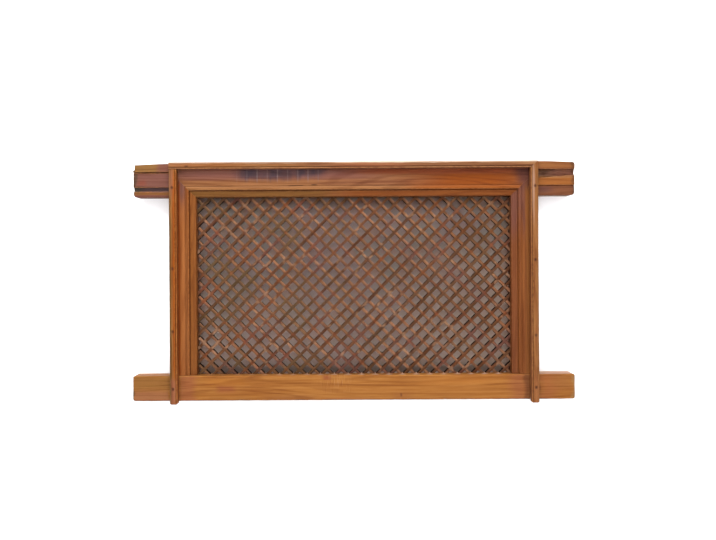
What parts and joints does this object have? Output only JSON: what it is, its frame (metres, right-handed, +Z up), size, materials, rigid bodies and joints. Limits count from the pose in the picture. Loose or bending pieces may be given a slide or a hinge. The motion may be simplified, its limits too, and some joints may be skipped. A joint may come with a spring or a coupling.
{
  "type": "window grille",
  "caption": "Wooden window grille: a fine diagonal lattice in a moulded frame, with long rails that run past the stiles as horns and battens nailed on the front.",
  "frame": {"origin": "on the flat back of the top rail, halfway along the window and halfway up the rail", "axes": "+X to the right seen from the front, +Y out of the back towards the wall, +Z up"},
  "size_m": [1.55, 0.0783, 0.841],
  "materials": {
    "rail_wood": "old waxed softwood, stained and split on the horns",
    "pale_rail_wood": "waxed softwood, lighter and yellower",
    "stile_wood": "waxed softwood, red brown",
    "batten_wood": "waxed softwood with worn arrises",
    "lattice_wood": "thin dry bars, rubbed and dusty",
    "rusted_iron": "dark rust"
  },
  "bodies": {
    "root": {"top_rail": "rail_wood", "bottom_rail": "pale_rail_wood", "left_stile": "stile_wood", "right_stile": "stile_wood", "lattice": "lattice_wood", "top_batten": "batten_wood", "left_batten": "batten_wood", "right_batten": "batten_wood", "left_nail_1": "rusted_iron", "left_nail_2": "rusted_iron", "left_nail_3": "rusted_iron", "left_nail_4": "rusted_iron", "right_nail_1": "rusted_iron", "right_nail_2": "rusted_iron", "right_nail_3": "rusted_iron", "right_nail_4": "rusted_iron"}
  },
  "joints": []
}
